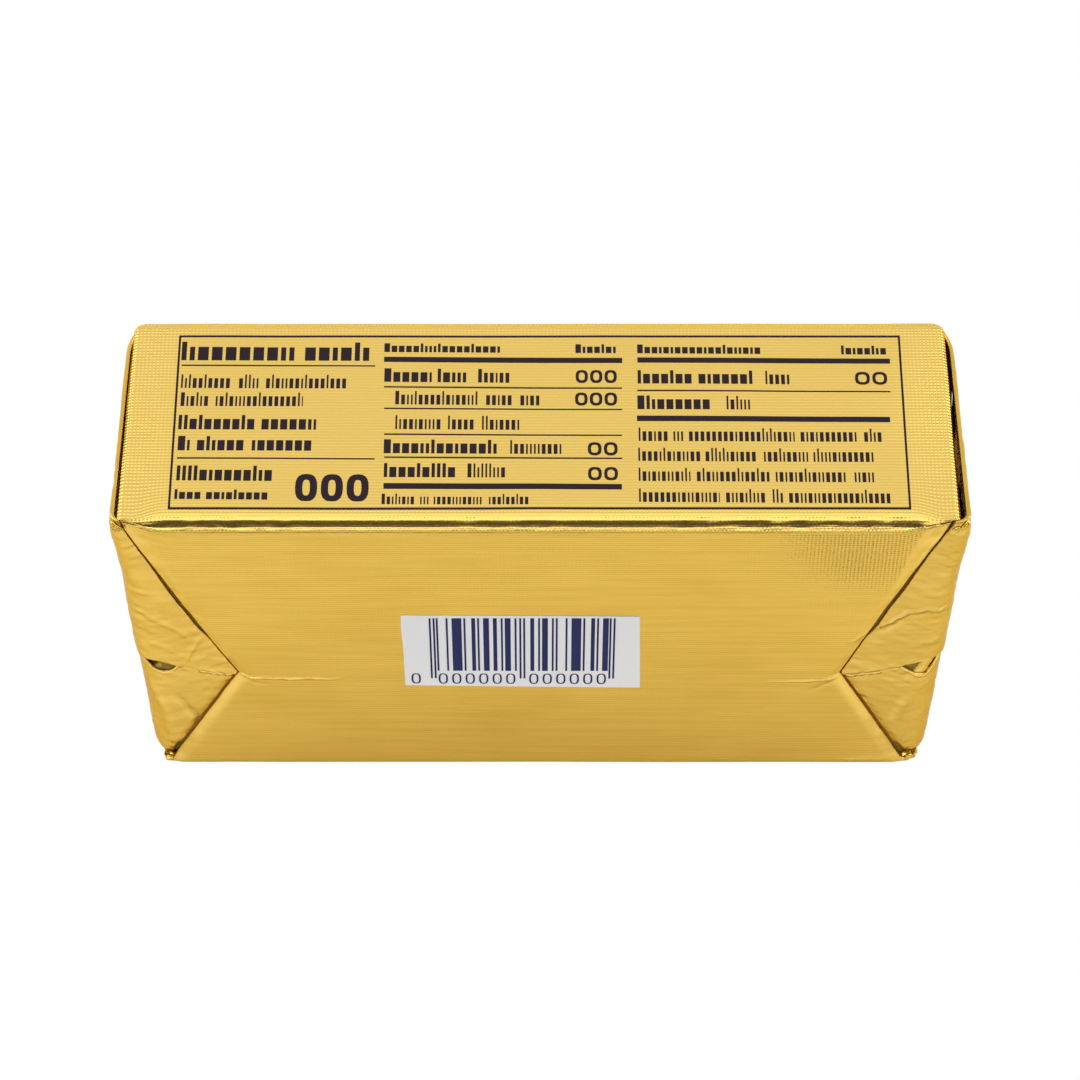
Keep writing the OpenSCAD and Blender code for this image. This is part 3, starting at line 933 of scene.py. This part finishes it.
def addRing(shapes, left, right, low, high, stroke):
    # a plain upright ring, as in a nought
    start = sum(len(points) for points, _ in shapes)
    count, points = 20, []
    for inset in (0, stroke):
        w, h = (right - left) / 2 - inset, (high - low) / 2 - inset * 0.9
        for i in range(count):
            a = 2 * math.pi * i / count
            c, s = math.cos(a), math.sin(a)
            points.append(((left + right) / 2 + w * math.copysign(abs(c) ** 0.75, c),
                           (low + high) / 2 + h * math.copysign(abs(s) ** 0.75, s)))
    faces = []
    for i in range(count):
        j = (i + 1) % count
        faces.append((start + i, start + j, start + count + j, start + count + i))
    shapes.append((points, faces))


def addWords(shapes, left, right, foot, capital, weight, words, seed):
    # each word is a row of plain upright blocks, some tall and some short
    stroke = table["stroke"][weight] * (capital / table["capital"]) ** 0.5
    pitch = (right - left) / (sum(words) + 0.55 * (len(words) - 1))
    gap = stroke * (1.15 if weight == "light" else 0.62)
    x, count = left, 0
    for number, letters in enumerate(words):
        end = x + letters * pitch * 0.97
        while x < end - stroke * 0.5:
            chance = float(hashGrid(np.float64(count), np.float64(number), seed))
            wide = stroke * (1 + 1.1 * (chance > (0.5 if weight == "light" else 0.35)))
            high = capital if chance < 0.15 or count == 0 else capital * table["low"]
            addBar(shapes, x, min(x + wide, end), foot, foot + high)
            x += wide + gap
            count += 1
        x = end + 0.6 * pitch


def makeInk(name, shapes, pointOn, lift, slope=0.0):
    places = np.array([p for points, _ in shapes for p in points], float)
    faces = [face for _, some in shapes for face in some]
    across, up = places[:, 0], places[:, 1]
    corners = pointOn(across, up + slope * (across + 10), lift)
    return buildMesh(name, corners, faces)


def makeTable():
    shapes = []
    left, right, low, high, line = table["frame"]
    addBar(shapes, left, right, low, low + line)
    addBar(shapes, left, right, high - line, high)
    addBar(shapes, left, left + line, low + line, high - line)
    addBar(shapes, right - line, right, low + line, high - line)
    frameInk = makeInk("tableFrame", shapes, topPoint, table["lift"])
    shapes = []
    for left, right, middle, thick in table["rules"]:
        addBar(shapes, left, right, middle - thick / 2, middle + thick / 2)
    for number, (left, right, foot, capital, weight, words) in enumerate(table["lines"]):
        addWords(shapes, left, right, foot, capital, weight, words, number)
    for left, right, foot, tall, weight, count in table["noughts"]:
        pitch = (right - left) / count
        stroke = table["stroke"][weight] * (tall / table["capital"]) ** 0.75
        for i in range(count):
            addRing(shapes, left + i * pitch, left + (i + 0.86) * pitch, foot, foot + tall, stroke)
    return [frameInk, makeInk("tableMarks", shapes, topPoint, table["lift"], table["slope"])]


# The white field with bars on the panel face
whiteField = {
    "corners": ((-19.5, 40.6), (13.9, 40.35), (14.3, 22.0), (-19.3, 22.45)),
    "mesh": (30, 16),  # columns and rows
    "lift": 0.03,  # of the field above the foil
    "inkLift": 0.05,  # and of its bars
    "tear": 0.06,  # unevenness of the left edge
    "barsFrom": -15.6,
    "barsTo": 10.55,
    "modules": 95,  # thin bars' widths from end to end
    "guards": (0, 2, 46, 48, 92, 94),  # where the long thin bars stand
    "halves": (3.6, 50.6),  # where the bars between them start
    "widths": ((1, 1), (3, 1), (2, 1), (1, 3), (1, 2), (4, 1)),  # of the two bars in each group
    "barTop": 39.9,
    "barFoot": 26.4,
    "guardFoot": 24.4,
    "firstDigit": -18.4,
    "digitFoot": 22.95,
    "digitHeight": 2.75,
    "digitWidth": 1.35,
    "digitStroke": 0.27,
}


def makeWhiteField():
    (ax, az), (bx, bz), (cx, cz), (dx, dz) = whiteField["corners"]
    columns, rows = whiteField["mesh"]
    s, t = np.meshgrid(np.linspace(0, 1, columns), np.linspace(0, 1, rows))
    x = (ax + (bx - ax) * s) * t + (dx + (cx - dx) * s) * (1 - t)
    z = (az + (bz - az) * s) * t + (dz + (cz - dz) * s) * (1 - t)
    x = x + whiteField["tear"] * softNoise(z, 3.0, 2.5, 71) * (s < 0.02)
    corners = panelPoint(x, z, whiteField["lift"]).reshape(-1, 3)
    return buildMesh("barField", corners, gridFaces(rows, columns))


def makeBars():
    shapes = []
    module = (whiteField["barsTo"] - whiteField["barsFrom"]) / whiteField["modules"]
    for guard in whiteField["guards"]:
        start = whiteField["barsFrom"] + guard * module
        addBar(shapes, start, start + module, whiteField["guardFoot"], whiteField["barTop"])
    # an invented, even run of bars between the guards, two to each seven modules
    for half, first in enumerate(whiteField["halves"]):
        for group in range(6):
            widths = whiteField["widths"][(group * 5 + half * 2) % 6]
            offset = (0, 1, 0)[(group + half) % 3]
            for wide, at in ((widths[0], offset), (widths[1], 6.0 - widths[1])):
                left = whiteField["barsFrom"] + (first + group * 7 + at) * module
                addBar(shapes, left, left + wide * module, whiteField["barFoot"], whiteField["barTop"])
    # a row of plain noughts below, one of them apart at the left
    steps = [3.9 + 7 * i + (5 if i > 5 else 0) for i in range(12)]
    places = [whiteField["barsFrom"] + step * module for step in steps]
    low, stroke = whiteField["digitFoot"], whiteField["digitStroke"]
    for left in (whiteField["firstDigit"], *places):
        right = left + whiteField["digitWidth"]
        addRing(shapes, left, right, low, low + whiteField["digitHeight"], stroke)
    return makeInk("fieldBars", shapes, panelPoint, whiteField["inkLift"])


# The camera looks along the block's depth, down on the near top edge
view = {
    "elevation": 55.2,
    "lens": 129.7,
    "distance": 0.5248,  # in metres, as the next two
    "axisDrop": 0.00200,  # the camera points this much below the near top edge
    "aside": -0.00003,  # and this much to the side of the middle
}


def makeCamera():
    data = bpy.data.cameras.new("camera")
    data.sensor_width = 36
    data.lens = view["lens"]
    data.clip_start, data.clip_end = 0.01, 20
    camera = bpy.data.objects.new("camera", data)
    bpy.context.scene.collection.objects.link(camera)
    tilt = math.radians(view["elevation"])
    forward = Vector((0, math.cos(tilt), -math.sin(tilt)))
    upward = Vector((0, math.sin(tilt), math.cos(tilt)))
    nearEdge = Vector((view["aside"], -halfDepth * mm, height * mm))
    camera.location = nearEdge - forward * view["distance"] - upward * view["axisDrop"]
    camera.rotation_euler = (math.radians(90 - view["elevation"]), 0, 0)
    bpy.context.scene.camera = camera


# The pale floor, the lights, and what the foil mirrors
studio = {
    "floorSpan": 3000,
    "floorGlow": 0.10,
    # a dark card lying towards the camera: how near and how far it reaches, its half width and its height
    "card": (135, 420, 700, 1),
    "sideLights": ((-1.3, 0.1, 1.0), (1.3, 0.1, 1.0)),  # places in metres
    "lightSize": 0.8,
    "lightPower": 6,
    # brightness of the room round the block at an angle: 0 is the camera's side, 90 above, 180 the back
    "room": ((0, 2.9), (7, 2.9), (12, 0.08), (61, 0.08), (66, 1.9),
             (90, 1.4), (104, 1.3), (116, 0.93), (180, 0.93)),
    "roomSides": 1.1,  # and at both ends
    "sidesFrom": (0.6, 0.8),  # how far sideways a direction points where they take over
}


def makeFloor():
    span = studio["floorSpan"]
    corners = [(-span, -span, 0), (span, -span, 0), (span, span, 0), (-span, span, 0)]
    floor = buildMesh("floor", corners, [(0, 1, 2, 3)], smooth=False)
    material, nodes, links, shader = newMaterial("paleFloor")
    shader.inputs["Base Color"].default_value = (0.9, 0.9, 0.9, 1)
    shader.inputs["Roughness"].default_value = 0.9
    shader.inputs["Specular IOR Level"].default_value = 0
    shader.inputs["Emission Color"].default_value = (1, 1, 1, 1)
    shader.inputs["Emission Strength"].default_value = studio["floorGlow"]
    white = nodes.new("ShaderNodeEmission")  # the floor itself shows as plain white
    seen = nodes.new("ShaderNodeLightPath")
    mix = nodes.new("ShaderNodeMixShader")
    links.new(seen.outputs["Is Camera Ray"], mix.inputs[0])
    links.new(shader.outputs[0], mix.inputs[1])
    links.new(white.outputs[0], mix.inputs[2])
    links.new(mix.outputs[0], nodes["Material Output"].inputs["Surface"])
    floor.data.materials.append(material)


def makeDarkCard():
    # seen only as a reflection in the foil
    near, far, wide, up = studio["card"]
    corners = [(-wide, -far, up), (wide, -far, up), (wide, -near, up), (-wide, -near, up)]
    card = buildMesh("darkCard", corners, [(0, 1, 2, 3)], smooth=False)
    material, _, _, shader = newMaterial("cardBlack")
    shader.inputs["Base Color"].default_value = (0.02, 0.02, 0.02, 1)
    shader.inputs["Roughness"].default_value = 0.9
    card.data.materials.append(material)
    card.visible_camera = False


def makeLight(name, place):
    data = bpy.data.lights.new(name, "AREA")
    data.shape = "SQUARE"
    data.size = studio["lightSize"]
    data.energy = studio["lightPower"]
    lamp = bpy.data.objects.new(name, data)
    bpy.context.scene.collection.objects.link(lamp)
    lamp.location = place
    lamp.rotation_euler = (-Vector(place)).to_track_quat("-Z", "Y").to_euler()


def makeWorld():
    # the room's light comes from bands round the block and from plain walls at both ends
    world = bpy.data.worlds.new("studio")
    bpy.context.scene.world = world
    world.use_nodes = True
    nodes, links = world.node_tree.nodes, world.node_tree.links
    place = nodes.new("ShaderNodeTexCoord")
    split = nodes.new("ShaderNodeSeparateXYZ")
    links.new(place.outputs["Generated"], split.inputs[0])
    towardsCamera = mathNode(nodes, links, "MULTIPLY", split.outputs[1], -1)
    turn = mathNode(nodes, links, "ARCTAN2", split.outputs[2], towardsCamera)
    ramp = nodes.new("ShaderNodeValToRGB")
    stops = ramp.color_ramp.elements
    while len(stops) < len(studio["room"]):
        stops.new(0.5)
    for stop, (angle, bright) in zip(stops, studio["room"]):
        stop.position = angle / 180
        stop.color = (bright, bright, bright, 1)
    links.new(mathNode(nodes, links, "DIVIDE", turn, math.pi), ramp.inputs[0])
    sideways = nodes.new("ShaderNodeMapRange")
    start, full = studio["sidesFrom"]
    sideways.inputs["From Min"].default_value = start
    sideways.inputs["From Max"].default_value = full
    links.new(mathNode(nodes, links, "ABSOLUTE", split.outputs[0]), sideways.inputs["Value"])
    ends = (studio["roomSides"],) * 3
    seen = mixColour(nodes, links, sideways.outputs[0], ramp.outputs[0], ends)
    links.new(seen, nodes["Background"].inputs["Color"])
    nodes["Background"].inputs["Strength"].default_value = 1


makeCamera()
makeFloor()
makeDarkCard()
makeWorld()
for lightName, lightPlace in zip(("leftLight", "rightLight"), studio["sideLights"]):
    makeLight(lightName, lightPlace)
bpy.context.scene.view_settings.view_transform = "Standard"
print("stage, lights and camera ready")

linenFoil = makeFoilMaterial("linenFoil", True)
plainFoil = makeFoilMaterial("plainFoil", False)
tableInk = makePrintMaterial("tableInk", (0.012, 0.004, 0.009), 0.5, 0.2)
barInk = makePrintMaterial("barInk", (0.006, 0.010, 0.085), 0.5, 0.15)
fieldWhite = makePrintMaterial("fieldWhite", (0.77, 0.77, 0.77), 0.5, 0.2)
print("foil and inks mixed")

bellyPiece = makeBelly()
bellyPiece.data.materials.append(linenFoil)
endPieces = [*makeEars(), makeInnerRim(-1, "Left"), makeInnerRim(1, "Right"), makeCore()]
endPieces += [makeCurl("topLeft", -1, height, 80), makeCurl("topRight", 1, height, 81)]
endPieces += [makeCurl("footLeft", -1, 0, 82), makeCurl("footRight", 1, 0, 83)]
for piece in endPieces:
    piece.data.materials.append(plainFoil)
for piece in (bellyPiece, *endPieces):
    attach(piece, "root")
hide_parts("wrapped_block")
print("foil folded round the block")

tablePieces = makeTable()
fieldPiece, barPiece = makeWhiteField(), makeBars()
for piece in tablePieces:
    piece.data.materials.append(tableInk)
fieldPiece.data.materials.append(fieldWhite)
barPiece.data.materials.append(barInk)
for piece in (*tablePieces, fieldPiece, barPiece):
    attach(piece, "root")
print("table and bars printed")
